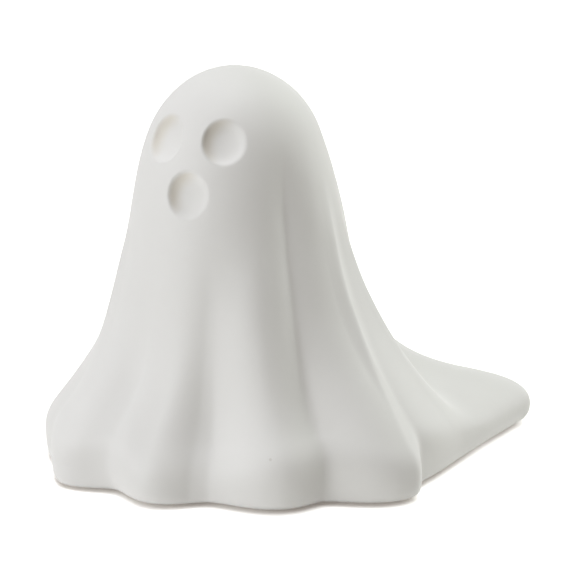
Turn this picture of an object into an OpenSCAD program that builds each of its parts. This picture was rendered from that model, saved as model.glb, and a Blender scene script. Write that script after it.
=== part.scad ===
// Ceramic ghost figure: a draped sheet with a round head, a lobed hem and a long train.
// Heights run up Z, the face looks along -Y, and azimuths turn from the face towards +X.

/* [Figure] */
// Height from the table to the crown, on its felt pads
height = 130.4; // [110:0.1:150]
// Radius of the round head
head_radius = 29.3; // [27:0.1:31]
// How much the head narrows towards the crown
head_taper_share = 0.058; // [0:0.002:0.08]
// Angle above level at which the cloth leaves the head
head_leave_angle = 19; // [16:1:24]
// How far the crown leans towards +X
head_lean = 0.9; // [0:0.1:2]
// Height above which the figure leans
lean_height = 60; // [50:1:70]
// Wall of the slip-cast shell
wall = 4.5; // [3.5:0.1:5.5]

/* [Drape] */
// Slope of the cloth where it reaches the hem
flare_angle = 50.6; // [46:0.1:54]
// Share of the drop over which the cloth keeps the head's slope
drape_top_share = 0.30; // [0.25:0.01:0.4]
// Share of the spread over which the cloth keeps the hem's slope
drape_hem_share = 0.816; // [0.7:0.002:0.85]
// Share of the hem radius that steers the cloth before it folds
drape_even_share = 0.80; // [0.75:0.01:0.9]
// Share of the way down at which the folds start
fold_start_share = 0.12; // [0.05:0.01:0.25]
// Share of the way down at which the folds are full
fold_full_share = 0.53; // [0.45:0.01:0.65]

/* [Hem] */
// Radius that the shares of the folds multiply
hem_radius = 66; // [60:1:70]
// For a valley and a fold in turn: azimuth and share at the hem, azimuth and share
// on the drape, how widely the valley opens, and share of the wall height
fold_shares = [
    [-155, 0.915, -155, 0.909, 1.3, 1],
    [-139, 1.015, -139, 0.969, 1.3, 1],
    [-122, 0.915, -122, 0.909, 1.3, 1],
    [-106, 1.015, -106, 0.969, 1.3, 1],
    [-93, 0.921, -93, 0.90, 1.3, 1],
    [-73.8, 0.960, -75.4, 0.852, 1.3, 1.06],
    [-59.5, 0.936, -51.7, 0.923, 2.05, 1.36],
    [-33.9, 0.982, -45.3, 0.873, 1.3, 0.99],
    [-17.2, 0.843, -20.4, 0.732, 1.84, 1.32],
    [-2.7, 0.867, 2, 0.792, 1.3, 0.74],
    [17.8, 0.776, 16.6, 0.770, 1.77, 0.65],
    [46, 0.905, 40.5, 0.960, 1.3, 1.27],
    [56.9, 0.887, 57.4, 0.935, 1.35, 1.32],
    [78.1, 1.117, 80.8, 1.017, 1.3, 0.88],
    [86.6, 1.028, 94.8, 0.949, 1.47, 1.47],
    [107.7, 1.093, 107.7, 1.014, 1.3, 0.87],
    [140, 0.975, 140, 0.945, 1.3, 1.13],
    [180, 1.015, 180, 0.969, 1.3, 1]
];
// Distance in from the hem wall at which its shoulder starts
shoulder_in = 5.1; // [4:0.1:7]
// Height of the shoulder's curve
shoulder_height = 11.8; // [10:0.1:14]
// Height of the hem's upright wall
hem_wall_height = 7.8; // [7:0.1:9]
// How far the wall draws in towards the foot
tuck = 1.6; // [1:0.1:2.2]
// Round at the foot of the wall
foot_round = 3.3; // [2.4:0.1:3.6]

/* [Train] */
// Azimuth of the train's tip
train_azimuth = 134.6; // [130:0.1:140]
// Distance of the tip from the axis of the head
train_reach = 107.3; // [100:0.1:115]
// Radius of the tip, seen from above
train_tip_radius = 9; // [8:0.1:12]
// Radius that the two flanks of the train leave from
train_root_radius = 68.5; // [64:0.1:70]
// Width over which the train blends into the hem
train_blend = 4.9; // [3:0.1:6]
// Height of the train's upright wall
train_wall_height = 8.3; // [7:0.1:9.5]
// Height of the train's shoulder
train_shoulder_height = 11.8; // [10:0.1:13]
// Distance in from the train's wall at which its shoulder starts
train_shoulder_in = 24.2; // [20:0.1:27]
// How far the train's wall draws in towards the foot
train_tuck = 2.3; // [1.5:0.1:3]
// Slope of the train's back
train_slope = 17.5; // [14:0.5:20]
// Share of the drop over which the cloth keeps the head's slope above the train
train_top_share = 0.59; // [0.5:0.01:0.65]
// Share of the spread over which the train keeps its own slope
train_back_share = 0.856; // [0.8:0.002:0.9]
// Reach at which the hem starts to flatten into the train
train_starts = 74; // [71:0.5:77]
// Reach at which it is all train
train_ends = 89.8; // [86:0.1:94]

/* [Face] */
// Width of each eye hollow
eye_width = 15.2; // [12:0.1:17]
// Azimuth of the eyes, to either side
eye_azimuth = 21; // [18:0.1:23]
// Height of the eye's floor above the table
eye_height = 110.1; // [107:0.1:113]
// Tilt of the eye hollows above level
eye_tilt = 19; // [15:1:22]
// Distance of the eye's floor from the axis of the head
eye_floor_reach = 24.6; // [24:0.1:25.4]
// Width of the mouth hollow
mouth_width = 14.8; // [12:0.1:17]
// Azimuth of the mouth
mouth_azimuth = 1; // [-2:0.5:3]
// Height of the mouth's floor above the table
mouth_height = 94.9; // [92:0.1:98]
// Tilt of the mouth hollow above level
mouth_tilt = 11; // [8:1:14]
// Distance of the mouth's floor from the axis of the head
mouth_floor_reach = 28.8; // [28.2:0.1:29.6]
// Round between the floor and the side of a hollow
hollow_round = 2.2; // [1.5:0.1:3]
// Draft of the side of a hollow
hollow_draft = 14; // [8:1:20]
// How much the middle of a hollow's floor sinks
hollow_dip = 0.4; // [0:0.1:0.8]
// Wall that the shell keeps behind a hollow
hollow_wall = 3.6; // [2.8:0.1:4.4]
// How much wider the boss behind a hollow is at its root, on each side
boss_spread = 3.2; // [2:0.1:5]

/* [Base] */
// Height that the felt pads lift the foot off the table
stand = 1; // [0.6:0.1:1.4]
// Depth of the recess inside the foot ring
base_recess = 1.2; // [0.8:0.1:1.6]
// Width of the foot ring that the shell was fired on
foot_ring_width = 4; // [3:0.1:5]
// Bore of the pour hole
pour_bore = 16; // [12:0.5:20]

/* [Stopper] */
// Gap around the stopper in the pour hole, on each side
stopper_gap = 0.05; // [0.03:0.01:0.1]
// Width of the stopper's rim
stopper_rim_width = 22; // [18:0.5:26]
// Thickness of the stopper's rim
stopper_rim_thickness = 1.3; // [1:0.1:1.6]
// Length of the stopper's plug inside the pour hole
stopper_plug_length = 8; // [7:0.1:10]
// Wall of the hollow plug
stopper_wall = 2.2; // [1.8:0.1:3]
// Width of the finger dimple under the rim
stopper_dimple_width = 9; // [7:0.1:10]

/* [Felt pads] */
// Width of each felt pad
pad_width = 10; // [8:0.5:11]
// Round at the lower edge of a pad
pad_edge_round = 0.5; // [0.3:0.1:0.8]
// How far the five hem pads keep in from the recess at its nearest
pad_clearance = 9.9; // [9:0.1:13]
// Azimuth of the two front pads, to either side
pad_front_azimuth = 42; // [40:1:46]
// Azimuth of the pad on the train's side
pad_right_azimuth = 86; // [80:1:90]
// Azimuth of the pad on the far side
pad_left_azimuth = -90; // [-94:1:-84]
// Azimuth of the back pad
pad_back_azimuth = -139; // [-145:1:-133]
// Distance of the train's pad from the tip
pad_train_inset = 22.5; // [21:0.5:26]

/* [Hidden] */

// Steps of the loft: azimuths round it, and rings down the head, drape, shoulder, wall and foot
turn_steps = 100;
head_steps = 7;
drape_steps = 17;
shoulder_steps = 6;
wall_steps = 2;
foot_steps = 3;
cavity_every = 2;
survey_steps = 720;

full_turn = 360;
half_turn = 180;
right_angle = 90;
shoulder_hold_share = 0.55;
shoulder_lift_share = 0.5;
shoulder_floor_share = 0.2;
train_fade_share = 0.9;
train_fade_power = 1.5;
hollow_depth_share = 0.2;
cavity_floor = stand + base_recess + wall;
recess_top = stand + base_recess;
crown = height;
head_centre = height - head_radius;
fold_count = len(fold_shares);
pad_reach = hem_radius - tuck - foot_round - foot_ring_width - base_recess - pad_width / 2
            - pad_clearance;

function clamp01(x) = max(0, min(1, x));
function ease(x) = let(c = clamp01(x)) c * c * (3 - 2 * c);
function wrap(a) = a - full_turn * floor((a + half_turn) / full_turn);
function blend_max(a, b, k) =
    let(h = clamp01(0.5 + 0.5 * (a - b) / k)) b * (1 - h) + a * h + k * h * (1 - h);
function curve(a, b, c, d, t) =
    pow(1 - t, 3) * a + 3 * pow(1 - t, 2) * t * b + 3 * (1 - t) * t * t * c + pow(t, 3) * d;
function mix(a, b, w) = a * (1 - w) + b * w;

// Folds at a level of the drape, from its top at 0 to the hem at 1: the azimuth, reach and
// pinch of each valley and fold. They grow out of even cloth and settle on the hem's own lines.
function folds_at(level) =
    let(grown = ease((level - fold_start_share) / (fold_full_share - fold_start_share)),
        settled = ease((level - fold_full_share) / (1 - fold_full_share)))
    [for (f = fold_shares)
        [mix(f[2], f[0], settled),
         hem_radius * mix(mix(drape_even_share, f[3], grown), f[1], settled),
         f[4]]];
hem_folds = folds_at(1);
drape_folds = [for (i = [1:drape_steps]) folds_at(i / drape_steps)];

// Number of the fold line before an azimuth, and the share of the way to the next one
function fold_span(folds, i) =
    let(w = folds[(i + 1) % fold_count][0] - folds[i][0])
    w > 0 ? w : w + full_turn;
function fold_along(folds, i, a) =
    let(from = folds[i][0])
    a - from - full_turn * floor((a - from) / full_turn);
function fold_index(folds, a, i = 0) =
    fold_along(folds, i, a) < fold_span(folds, i) || i == fold_count - 1
        ? i : fold_index(folds, a, i + 1);

// Reach of the lobed cloth: each fold rises from a pinched valley to a round crest
function cloth_reach(folds, a) =
    let(i = fold_index(folds, a),
        next = (i + 1) % fold_count,
        s = fold_along(folds, i, a) / fold_span(folds, i),
        rise = i % 2 == 0 ? pow(sin(right_angle * s), folds[i][2])
                          : 1 - pow(sin(right_angle * (1 - s)), folds[next][2]))
    mix(folds[i][1], folds[next][1], rise);
function wall_share_at(a) =
    let(i = fold_index(hem_folds, a))
    mix(fold_shares[i][5], fold_shares[(i + 1) % fold_count][5],
        ease(fold_along(hem_folds, i, a) / fold_span(hem_folds, i)));

// Reach of the train: two straight flanks that leave the body and close on a round tip
train_centre = train_reach - train_tip_radius;
train_taper = asin((train_root_radius - train_tip_radius) / train_centre);
train_tip_turn = atan2(train_tip_radius * cos(train_taper),
                       train_centre + train_tip_radius * sin(train_taper));
function train_reach_at(a) =
    let(d = abs(wrap(a - train_azimuth)),
        past = d - (right_angle - train_taper))
    d < train_tip_turn
        ? train_centre * cos(d) + sqrt(max(0, pow(train_tip_radius, 2) - pow(train_centre * sin(d), 2)))
    : past < 0
        ? train_root_radius / sin(d + train_taper)
        : train_root_radius * (1 - train_fade_share * pow(past * PI / half_turn, train_fade_power));
function reach_of(folds, a) = blend_max(cloth_reach(folds, a), train_reach_at(a), train_blend);
function reach(a) = reach_of(hem_folds, a);
function train_weight(a) = ease((train_reach_at(a) - train_starts) / (train_ends - train_starts));

// One upright profile of the cloth at an azimuth, as [reach, height] pairs from crown to foot
leave_reach = head_radius * cos(head_leave_angle) * (1 - head_taper_share * sin(head_leave_angle));
leave_height = head_centre + head_radius * sin(head_leave_angle);
leave_slope = tan(head_leave_angle) * (1 - head_taper_share * sin(head_leave_angle))
              + head_taper_share * cos(head_leave_angle);
function profile(a) =
    let(R = reach(a),
        w = train_weight(a),
        in = mix(shoulder_in, train_shoulder_in, w),
        up = mix(shoulder_height, train_shoulder_height, w),
        draw_in = mix(tuck, train_tuck, w),
        wall_top = stand + mix(hem_wall_height * wall_share_at(a), train_wall_height, w),
        slope = mix(flare_angle, train_slope, w),
        hold_top = mix(drape_top_share, train_top_share, w),
        hold_hem = mix(drape_hem_share, train_back_share, w),
        hem_start = R - in,
        z3 = wall_top + up,
        z1 = leave_height - hold_top * (leave_height - z3),
        r1 = leave_reach + hold_top * (leave_height - z3) * leave_slope,
        r3a = hem_start + in * shoulder_hold_share,
        z3a = max(z3 - in * shoulder_hold_share * tan(slope), wall_top + up * shoulder_floor_share),
        z4a = wall_top + up * shoulder_lift_share)
    concat(
        [for (i = [1:head_steps])
            let(lift = right_angle - i * (right_angle - head_leave_angle) / head_steps)
            [head_radius * cos(lift) * (1 - head_taper_share * sin(lift)),
             head_centre + head_radius * sin(lift)]],
        [for (i = [1:drape_steps])
            let(t = i / drape_steps,
                r3 = reach_of(drape_folds[i - 1], a) - in,
                r2 = r3 - hold_hem * (r3 - leave_reach),
                z2 = z3 + hold_hem * (r3 - leave_reach) * tan(slope))
            [curve(leave_reach, r1, r2, r3, t), curve(leave_height, z1, z2, z3, t)]],
        [for (i = [1:shoulder_steps])
            let(t = i / shoulder_steps)
            [curve(hem_start, r3a, R, R, t), curve(z3, z3a, z4a, wall_top, t)]],
        [for (i = [1:wall_steps])
            let(t = i / wall_steps)
            [R - draw_in * t * t, mix(wall_top, stand + foot_round, t)]],
        [for (i = [1:foot_steps])
            let(q = right_angle * i / foot_steps)
            [R - draw_in - foot_round * (1 - cos(q)), stand + foot_round * (1 - sin(q))]]);

// The inner profile lies one wall inside the outer one, down to the floor of the cavity
cavity_steps = head_steps + drape_steps + shoulder_steps + 1;
function inner_profile(a) =
    let(p = profile(a), n = cavity_steps)
    [for (i = [1:cavity_every:n])
        let(before = p[i - 1],
            after = p[i + 1],
            run = after - before,
            size = norm(run),
            out = [-run[1] / size, run[0] / size],
            at = p[i] - wall * out)
        [at[0], max(at[1], cavity_floor)]];

// Azimuths at even steps along the hem's outline
survey = [for (i = [0:survey_steps])
    let(a = -half_turn + full_turn * i / survey_steps, R = reach(a))
    [R * sin(a), -R * cos(a)]];
survey_run = [for (i = 0, run = 0; i <= survey_steps;
                   i = i + 1, run = i > survey_steps ? run : run + norm(survey[i] - survey[i - 1])) run];
survey_table = [for (i = [0:survey_steps])
    [survey_run[i] / survey_run[survey_steps], -half_turn + full_turn * i / survey_steps]];
turns = [for (k = [0:turn_steps - 1]) lookup(k / turn_steps, survey_table)];

// The middle of the outline's box becomes the origin
outline = [for (a = turns) [reach(a) * sin(a), -reach(a) * cos(a)]];
middle = [
    (max([for (p = outline) p[0]]) + min([for (p = outline) p[0]])) / 2,
    (max([for (p = outline) p[1]]) + min([for (p = outline) p[1]])) / 2
];

// The figure leans a little to one side above its waist
function lean(z) = head_lean * ease((z - lean_height) / (height - lean_height));
function place(a, rz) = [rz[0] * sin(a) + lean(rz[1]), -rz[0] * cos(a), rz[1]];

// Triangles between two neighbouring rings, the outer side facing out
function band(i, n) =
    [for (k = [0:n - 1])
        let(p = i * n + k, q = i * n + (k + 1) % n)
        each [[p, p + n, q + n], [p, q + n, q]]];

// Cloth outside, foot ring and recess below, as one closed skin
module outer_skin() {
    n = turn_steps;
    rings = [for (a = turns)
        let(p = profile(a), edge = p[len(p) - 1][0], inner = edge - foot_ring_width)
        concat(p, [[inner, stand], [inner - base_recess, recess_top]])];
    count = len(rings[0]);
    points = concat(
        [for (i = [0:count - 1]) for (k = [0:n - 1]) place(turns[k], rings[k][i])],
        [place(0, [0, crown])]);
    top = count * n;
    faces = concat(
        [for (k = [0:n - 1]) [top, k, (k + 1) % n]],
        [for (i = [0:count - 2]) each band(i, n)],
        [[for (k = [n - 1:-1:0]) (count - 1) * n + k]]);
    polyhedron(points, [for (f = faces) [for (j = [len(f) - 1:-1:0]) f[j]]]);
}

module cavity() {
    picks = [for (k = [0:cavity_every:turn_steps - 1]) turns[k]];
    n = len(picks);
    rings = [for (a = picks)
        let(p = inner_profile(a))
        concat(p, [[p[len(p) - 1][0], cavity_floor]])];
    count = len(rings[0]);
    points = concat(
        [for (i = [0:count - 1]) for (k = [0:n - 1]) place(picks[k], rings[k][i])],
        [place(0, [0, crown - wall])]);
    top = count * n;
    faces = concat(
        [for (k = [0:n - 1]) [top, k, (k + 1) % n]],
        [for (i = [0:count - 2]) each band(i, n)],
        [[for (k = [n - 1:-1:0]) (count - 1) * n + k]]);
    polyhedron(points, [for (f = faces) [for (j = [len(f) - 1:-1:0]) f[j]]]);
}

// Tool that presses one round hollow: a shallow floor, a round and a drafted side
module hollow_tool(width) {
    depth = width * hollow_depth_share;
    floor_radius = width / 2 - hollow_round - depth * tan(hollow_draft) / 2;
    rotate_extrude($fn = 64)
        polygon(concat(
            [[0, -hollow_dip]],
            [for (i = [1:4]) let(t = i / 4) [floor_radius * t, -hollow_dip * (1 - t * t)]],
            [for (i = [1:4])
                let(q = (right_angle - hollow_draft) * i / 4)
                [floor_radius + hollow_round * sin(q), hollow_round * (1 - cos(q))]],
            [[width / 2 + depth * tan(hollow_draft), depth * 3]],
            [[0, depth * 3]]));
}

// Boss that the slip left inside the shell, behind a hollow
module hollow_boss(width) {
    translate([0, 0, -hollow_dip - hollow_wall])
        cylinder(r1 = width / 2, r2 = width / 2 + boss_spread, h = hollow_wall + wall, $fn = 48);
}

module place_hollow(azimuth, z, tilt, floor_reach) {
    translate([floor_reach * sin(azimuth) + lean(z), -floor_reach * cos(azimuth), z])
        rotate([right_angle - tilt, 0, azimuth])
            children();
}

module at_eye(side) {
    place_hollow(side * eye_azimuth, eye_height, eye_tilt, eye_floor_reach) children();
}

module at_mouth() {
    place_hollow(mouth_azimuth, mouth_height, mouth_tilt, mouth_floor_reach) children();
}

module ghost_shell() {
    color("ghostwhite")
    translate([-middle[0], -middle[1], 0])
        difference() {
            outer_skin();
            difference() {
                cavity();
                at_eye(-1) hollow_boss(eye_width);
                at_eye(1) hollow_boss(eye_width);
                at_mouth() hollow_boss(mouth_width);
            }
            at_eye(-1) hollow_tool(eye_width);
            at_eye(1) hollow_tool(eye_width);
            at_mouth() hollow_tool(mouth_width);
            cylinder(d = pour_bore, h = cavity_floor + wall, $fn = 96);
        }
}

// Soft plug: a thin rim under the base, a hollow plug in the bore and a finger dimple
module stopper() {
    plug_radius = pour_bore / 2 - stopper_gap;
    rim_low = recess_top - stopper_rim_thickness;
    plug_top = recess_top + stopper_plug_length;
    dimple_depth = stopper_rim_thickness + stopper_wall / 2;
    lead_in = stopper_wall / 2;
    color("dimgray")
    translate([-middle[0], -middle[1], 0])
        rotate_extrude($fn = 96)
            difference() {
                polygon([
                    [0, rim_low],
                    [stopper_rim_width / 2 - stopper_rim_thickness / 2, rim_low],
                    [stopper_rim_width / 2, rim_low + stopper_rim_thickness / 2],
                    [stopper_rim_width / 2, recess_top],
                    [plug_radius, recess_top],
                    [plug_radius, plug_top - lead_in],
                    [plug_radius - lead_in, plug_top],
                    [plug_radius - stopper_wall, plug_top],
                    [plug_radius - stopper_wall, recess_top + stopper_wall],
                    [0, recess_top + stopper_wall]
                ]);
                polygon([
                    [0, rim_low - stopper_wall],
                    [stopper_dimple_width / 2, rim_low - stopper_wall],
                    [stopper_dimple_width / 2, rim_low],
                    [stopper_dimple_width / 3, rim_low + dimple_depth * 0.7],
                    [0, rim_low + dimple_depth]
                ]);
            }
}

// One round felt pad, stuck in the recess, with its lower edge rounded
module pad(azimuth, out) {
    color("gray")
    translate([out * sin(azimuth) - middle[0], -out * cos(azimuth) - middle[1], 0])
        rotate_extrude($fn = 64)
            polygon(concat(
                [[0, 0]],
                [for (i = [0:4])
                    let(q = right_angle * i / 4)
                    [pad_width / 2 - pad_edge_round * (1 - sin(q)), pad_edge_round * (1 - cos(q))]],
                [[pad_width / 2, recess_top], [0, recess_top]]));
}

module pad_front_left() { pad(-pad_front_azimuth, pad_reach); }
module pad_front_right() { pad(pad_front_azimuth, pad_reach); }
module pad_right() { pad(pad_right_azimuth, pad_reach); }
module pad_train() { pad(train_azimuth, train_reach - pad_train_inset); }
module pad_back() { pad(pad_back_azimuth, pad_reach); }
module pad_left() { pad(pad_left_azimuth, pad_reach); }

ghost_shell();
stopper();
pad_front_left();
pad_front_right();
pad_right();
pad_train();
pad_back();
pad_left();
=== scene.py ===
import math

import bmesh
import bpy
import numpy as np
from bpy.props import FloatProperty, FloatVectorProperty, PointerProperty
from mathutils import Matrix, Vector, noise


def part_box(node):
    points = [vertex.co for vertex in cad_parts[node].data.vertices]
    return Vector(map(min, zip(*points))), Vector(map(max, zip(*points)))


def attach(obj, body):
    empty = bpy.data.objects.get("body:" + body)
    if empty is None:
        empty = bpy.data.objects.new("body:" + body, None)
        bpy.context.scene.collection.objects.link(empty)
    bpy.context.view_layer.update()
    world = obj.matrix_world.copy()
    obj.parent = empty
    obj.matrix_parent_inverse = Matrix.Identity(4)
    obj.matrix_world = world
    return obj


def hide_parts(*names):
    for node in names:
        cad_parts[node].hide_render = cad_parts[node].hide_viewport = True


bl_info = {
    "name": "Draped ceramic ghost",
    "version": (1, 0, 0),
    "blender": (4, 5, 0),
    "location": "3D view > Sidebar > Ghost",
    "description": "A slip-cast ghost under a sheet, with its stopper, felt pads and photo stage",
    "category": "Object",
}

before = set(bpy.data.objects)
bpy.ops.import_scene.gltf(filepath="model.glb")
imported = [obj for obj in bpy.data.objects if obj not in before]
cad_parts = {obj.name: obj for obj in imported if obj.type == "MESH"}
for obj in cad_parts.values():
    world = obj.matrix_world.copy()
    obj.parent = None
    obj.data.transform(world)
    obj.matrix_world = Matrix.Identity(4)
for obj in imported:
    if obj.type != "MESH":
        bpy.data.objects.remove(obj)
STOPPER_LOW, STOPPER_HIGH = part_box("stopper")
AXIS = (STOPPER_LOW + STOPPER_HIGH) / 2
MM = 0.001

# Valleys and folds round the hem, in turn: azimuth in degrees from the face towards the
# train and share of the hem's radius at the hem, the same two on the drape, how widely the
# valley opens, and the shares of the wall's height and of how far its foot draws in.
FOLD_LINES = (
    (-155, 0.915, -155, 0.909, 1.3, 1, 0.8),
    (-139, 1.015, -139, 0.969, 1.3, 1, 0.8),
    (-122, 0.915, -122, 0.909, 1.3, 1, 0.8),
    (-106, 1.0, -106, 0.969, 1.3, 1, 0.8),
    (-88, 0.92, -90, 0.90, 1.3, 1, 0.5),
    (-64, 0.95, -75.4, 0.87, 1.3, 1.06, 0.3),
    (-51, 0.915, -51.7, 0.945, 1.2, 1.3, 0.3),
    (-36.5, 0.962, -45.3, 0.88, 1.3, 0.99, 0.3),
    (-18, 0.825, -20.4, 0.755, 1.8, 1.32, 1),
    (-3.5, 0.855, 2, 0.792, 1.3, 0.74, 1),
    (17.8, 0.752, 16.6, 0.770, 1.7, 0.65, 1),
    (46, 0.883, 40.5, 0.960, 1.3, 1.27, 1),
    (56.5, 0.866, 57.4, 0.935, 1.6, 1.32, 1),
    (79.5, 1.112, 80.8, 1.017, 1.3, 0.88, 1),
    (86.6, 1.035, 94.8, 0.949, 1.47, 1.47, 1),
    (107.7, 1.085, 107.7, 1.014, 1.3, 0.87, 1),
    (140, 0.975, 140, 0.945, 1.3, 1.13, 1),
    (180, 1.015, 180, 0.969, 1.3, 1, 0.8),
)
(HEM_TURNS, HEM_REACHES, DRAPE_TURNS, DRAPE_REACHES,
 OPENINGS, WALL_SHARES, FOOT_SHARES) = np.array(FOLD_LINES, float).T

# Creases and ridges down the drape, and last one broad swell. Levels run from 0 at the top of
# the drape to 1 at the hem, and on past 1 down the hem. Each row has the azimuth at the three
# crease levels, the levels where it starts and is full, its height out of the surface on the
# drape and at the hem, and its width, the last three in millimetres.
CREASE_LEVELS = (0.3, 0.7, 1)
CREASE_LINES = (
    (58.2, 58.4, 58.4, 0.0, 0.28, -2.3, -0.6, 4.8),
    (15.5, 12.6, 11.4, 0.30, 0.60, -0.6, -0.8, 4),
    (89.5, 86.5, 78.5, 0.10, 0.50, 0.8, 0.6, 2.4),
    (97, 93, 85.5, 0.10, 0.50, -0.9, -1.4, 5),
    (-26, -26, -26, 0.50, 0.85, -0.3, -0.3, 4),
    (-66, -66, -66, 0.30, 0.70, 1.1, 0.3, 14),
)
# Levels between which a crease takes on its height at the hem, and between which it ends
CREASE_TO_HEM = (0.7, 1.1)
CREASE_ENDS = (1.35, 1.65)
# A crease keeps exp(peak - sqrt(x * x + round)) of its height x widths from its line
CREASE_PEAK = 0.245
CREASE_ROUND = 0.06

# The one small kiln speck, low on the front fold
SPECK_PLACE = (AXIS.x + 34.5 * MM, AXIS.y - 42.8 * MM, 18.2 * MM)
SPECK_SIZE = 0.6 * MM
SPECK_COLOUR = (0.42, 0.37, 0.31)
SPECK_STRENGTH = 0.25

# Lift where the crown's rings end and the brow's start, and level where the face's rings end
BROW_LIFT = math.radians(40.5)
FACE_LEVEL = 0.3

# Handles of the hem's curves. The shoulder keeps the drape's slope over a share of its depth,
# no lower than a share of its height, and meets the wall from a share of its height. The wall
# stands for a share of its height, and starts to draw in by a share of the foot's draw.
SHOULDER_HOLD = 0.55
SHOULDER_FLOOR = 0.2
SHOULDER_LIFT = 0.5
WALL_HOLD = 0.75
FOOT_LEAD = 0.25
# Levels that the hem takes up past 1
HEM_LEVELS = 0.7

# Share of its reach that the train loses one radian behind its flanks, and the power of that
TRAIN_FADE = 0.9
TRAIN_FADE_POWER = 1.5

# Shares at which rings of the mesh lie: across the foot ring, round the edge of the recess,
# in and up as shares of its depth, over the recess, up the pour hole and over the floor
FOOT_RING_SHARES = (0.08, 0.5, 0.92, 1.0)
RECESS_EDGE_SHARES = ((0.25, 0.35), (0.9, 0.94), (1.15, 1.0))
RECESS_SHARES = (0.2, 0.45, 0.75, 0.95)
BORE_SHARES = (0.4, 0.85)
BORE_EDGE_SHARE = 0.3
FLOOR_SHARES = (0.3, 0.7)

# How far behind its floor a hollow still presses, and the widths that its side climbs for
# each radius past its edge
HOLLOW_BACK = 8 * MM
HOLLOW_CLIMB = 2

# Unevenness: waves per metre and height in millimetres of the slow and the fast waves, from
# the still radius out to where it is full
SLOW_WAVES, SLOW_HEIGHT = 38, 0.16
FAST_WAVES, FAST_HEIGHT = 110, 0.05
FAST_SHIFT = Vector((7, 3, 1))
STILL_RADIUS = 4 * MM
FULL_RADIUS = 14 * MM

# Felt pads: insets of the flat faces in millimetres, and waves per metre and share of the
# coarse and fine lumps. These pull the side in from a share of its radius on, and lift the
# underside, which also curls up towards its edge.
FELT_INSETS = (0.35, 0.5, 0.8, 1.2, 1.0)
FELT_SEED_STEP = 3.1
COARSE_LUMPS, COARSE_SHARE = 900, 0.09
FINE_LUMPS, FINE_SHARE = 2600, 0.05
SIDE_FROM, SIDE_PULL = 0.9, 2.2 * MM
UNDER_LAYER, UNDER_LIFT = 0.1 * MM, 1.2 * MM
CURL_HEIGHT, CURL_WIDTH = 0.1 * MM, 1.2 * MM

# The painted shade of a hollow, darker and warmer where shade falls on its upper left wall, in
# shares of its radius: where it comes in, where it ends, and where it comes in on the upper left
# side, each with how steeply, and that side's lift
HOLLOW_SHADE_START, HOLLOW_SHADE_START_GAIN = 0.35, 2.2
HOLLOW_SHADE_END, HOLLOW_SHADE_END_GAIN = 1.1, 6
HOLLOW_SHADE_SIDE, HOLLOW_SHADE_SIDE_GAIN = 0.05, 1.6
HOLLOW_SHADE_LEAN = 0.45

# Height of the bare band above the foot, and over how much of it the glaze comes in
BARE_HEIGHT = 0.55 * MM
BARE_FADE = 0.625 * MM

# The floor: size in metres, matt colour, glow in the contact shadow, that shadow's reach, the
# open share where it is full and how steeply it clears, and the glow near the ghost, with the
# distance in metres where it grows from and how steeply
FLOOR_SIZE = 8
FLOOR_MATT = (0.93, 0.925, 0.91)
FLOOR_SHADE = (0.2, 0.18, 0.163)
SHADE_REACH = 2.2 * MM
SHADE_START, SHADE_GAIN = 0.3, 2
GLOW_NEAR = 0.62
GLOW_START, GLOW_GAIN = 0.12, 2.5
# Colour of the faint light all round, and the height that every lamp looks at
AMBIENT_COLOUR = (1, 0.6, 0.2)
LAMP_AIM = 60 * MM

# Turns and rings of the body's mesh. The rings run from the crown down the outside,
# in under the base, up the pour hole and over the inside to the inner crown.
TURNS = 416
CROWN_RINGS = 26
BROW_RINGS = 16
FACE_RINGS = 50
DRAPE_RINGS = 60
SHOULDER_RINGS = 18
WALL_RINGS = 8
FOOT_RINGS = 8
INSIDE_RINGS = 22
# The outer ring behind which the inside ends
INSIDE_ENDS = 3
# Steps of a survey round the hem, and how much the turns follow its length
SURVEY_STEPS = 7201
RUN_SHARE = 0.6
# Points closer than this many metres are joined
MERGE = 1e-6


def length(name, text, millimetres):
    """A length that the sidebar shows, given in millimetres and kept in metres."""
    return FloatProperty(name=name, description=text, default=millimetres * MM,
                         precision=5, unit="LENGTH", subtype="DISTANCE")


def angle(name, text, degrees):
    """An angle that the sidebar shows."""
    return FloatProperty(name=name, description=text, default=math.radians(degrees),
                         unit="ROTATION", subtype="ANGLE")


def share(name, text, value):
    """A plain share or factor."""
    return FloatProperty(name=name, description=text, default=value, subtype="FACTOR")


def amount(name, text, value):
    """A strength or level."""
    return FloatProperty(name=name, description=text, default=value)


def colour(name, text, value):
    """A linear colour."""
    return FloatVectorProperty(name=name, description=text, default=value, size=3,
                               subtype="COLOR", min=0.0, max=1.0)


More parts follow.
